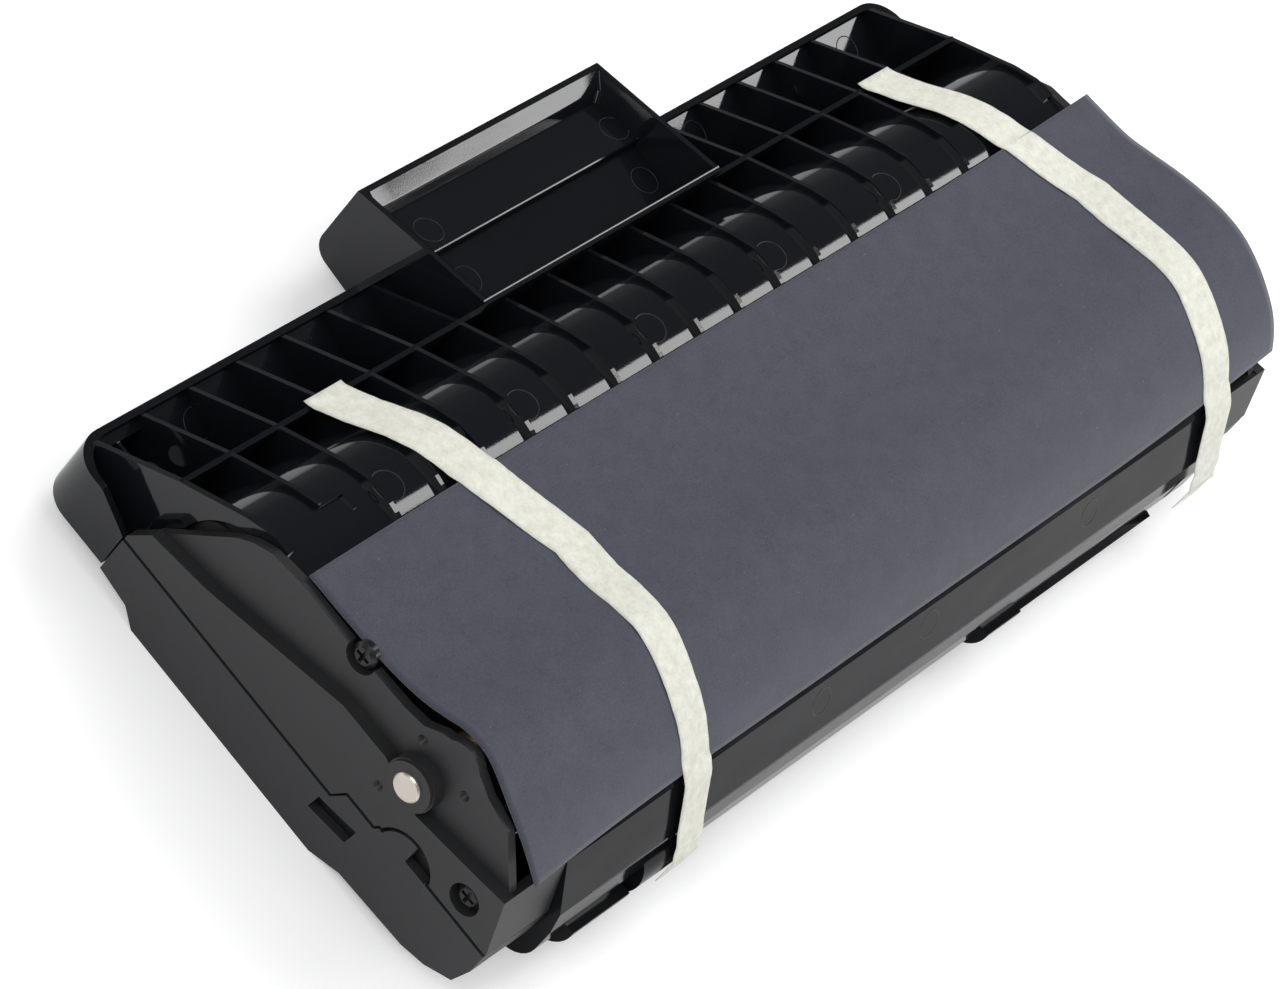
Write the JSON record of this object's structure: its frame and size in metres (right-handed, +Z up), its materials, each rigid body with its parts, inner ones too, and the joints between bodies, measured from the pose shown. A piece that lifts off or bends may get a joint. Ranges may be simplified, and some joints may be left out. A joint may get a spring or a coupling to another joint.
{
  "type": "toner cartridge",
  "caption": "Laser printer toner cartridge with its packing paper taped over the drum: ribbed black housing, rear grip, end caps, geared drum and rollers.",
  "frame": {"origin": "centre of the flat underside that the cartridge lies on", "axes": "+X along the cartridge to the geared end, +Y to the grip at the rear, +Z up"},
  "size_m": [0.306, 0.1624, 0.0576],
  "materials": {
    "shell_plastic": "satin black moulding",
    "frame_plastic": "glossy black moulding",
    "cap_plastic": "satin dark grey moulding",
    "bin_plastic": "glossy black moulding",
    "shaft_metal": "turned, warm nickel tint",
    "drum_coating": "smooth coated aluminium tube",
    "flange_plastic": "dark moulding",
    "gear_plastic": "natural acetal",
    "roller_steel": "ground steel",
    "developer_rubber": "fine matt rubber",
    "supply_foam": "open foam",
    "agitator_plastic": "natural moulding",
    "clear_film": "thin polyester film",
    "charge_rubber": "smooth rubber",
    "bush_plastic": "natural acetal",
    "spring_steel": "drawn wire",
    "bracket_steel": "zinc plated sheet",
    "blade_steel": "thin spring sheet",
    "blade_rubber": "amber rubber",
    "contact_brass": "sheet",
    "screw_steel": "dark plated",
    "packing_paper": "matt fibrous dark blue-grey paper",
    "paper_tape": "cream crepe paper tape"
  },
  "bodies": {
    "housing": {"lower_shell": "shell_plastic", "ribbed_frame": "frame_plastic", "end_cap_left": "cap_plastic", "end_cap_right": "cap_plastic", "waste_bin": "bin_plastic", "drum_shaft": "shaft_metal", "charge_holder_left": "bush_plastic", "charge_holder_right": "bush_plastic", "charge_springs": "spring_steel", "developer_bush_left": "bush_plastic", "developer_bush_right": "bush_plastic", "supply_bush_left": "bush_plastic", "supply_bush_right": "bush_plastic", "agitator_bush_left": "bush_plastic", "agitator_bush_right": "bush_plastic", "fill_plug": "flange_plastic", "doctor_bracket": "bracket_steel", "doctor_blade": "blade_steel", "cleaning_bracket": "bracket_steel", "cleaning_blade": "blade_rubber", "recovery_film": "clear_film", "drum_contact": "contact_brass", "cap_screws": "screw_steel", "blade_screws": "screw_steel", "paper_cover": "packing_paper", "tape_left": "paper_tape", "tape_right": "paper_tape"},
    "drum": {"drum_tube": "drum_coating", "drum_flange": "flange_plastic", "drum_gear": "gear_plastic"},
    "developer": {"developer_shaft": "roller_steel", "developer_sleeve": "developer_rubber", "developer_gear": "gear_plastic"},
    "supply": {"supply_shaft": "roller_steel", "supply_foam": "supply_foam", "supply_gear": "gear_plastic"},
    "idler": {"idler_gear": "gear_plastic"},
    "agitator": {"agitator_shaft": "agitator_plastic", "agitator_film": "clear_film", "agitator_gear": "gear_plastic"},
    "charge": {"charge_core": "roller_steel", "charge_rubber": "charge_rubber"}
  },
  "joints": [
    {"name": "drum_spin", "type": "hinge", "parent": "housing", "child": "drum", "pos_m": [0, -0.03625, 0.0382], "axis": [1, 0, 0], "continuous": true},
    {"name": "developer_spin", "type": "hinge", "parent": "housing", "child": "developer", "pos_m": [0, -0.01764, 0.02418], "axis": [1, 0, 0], "continuous": true},
    {"name": "supply_spin", "type": "hinge", "parent": "housing", "child": "supply", "pos_m": [0, -0.00314, 0.01961], "axis": [1, 0, 0], "continuous": true},
    {"name": "idler_spin", "type": "hinge", "parent": "housing", "child": "idler", "pos_m": [0.1339, -0.00545, 0.03103], "axis": [1, 0, 0], "continuous": true},
    {"name": "agitator_spin", "type": "hinge", "parent": "housing", "child": "agitator", "pos_m": [0, 0.01737, 0.02397], "axis": [1, 0, 0], "continuous": true},
    {"name": "charge_spin", "type": "hinge", "parent": "housing", "child": "charge", "pos_m": [0, -0.04524, 0.02056], "axis": [1, 0, 0], "continuous": true}
  ],
  "couplings": [
    {"joint": "developer_spin", "follows": "drum_spin", "ratio": -2},
    {"joint": "supply_spin", "follows": "drum_spin", "ratio": -2.8571},
    {"joint": "idler_spin", "follows": "drum_spin", "ratio": 2.5},
    {"joint": "agitator_spin", "follows": "drum_spin", "ratio": 1},
    {"joint": "charge_spin", "follows": "drum_spin", "ratio": -3.3333}
  ]
}
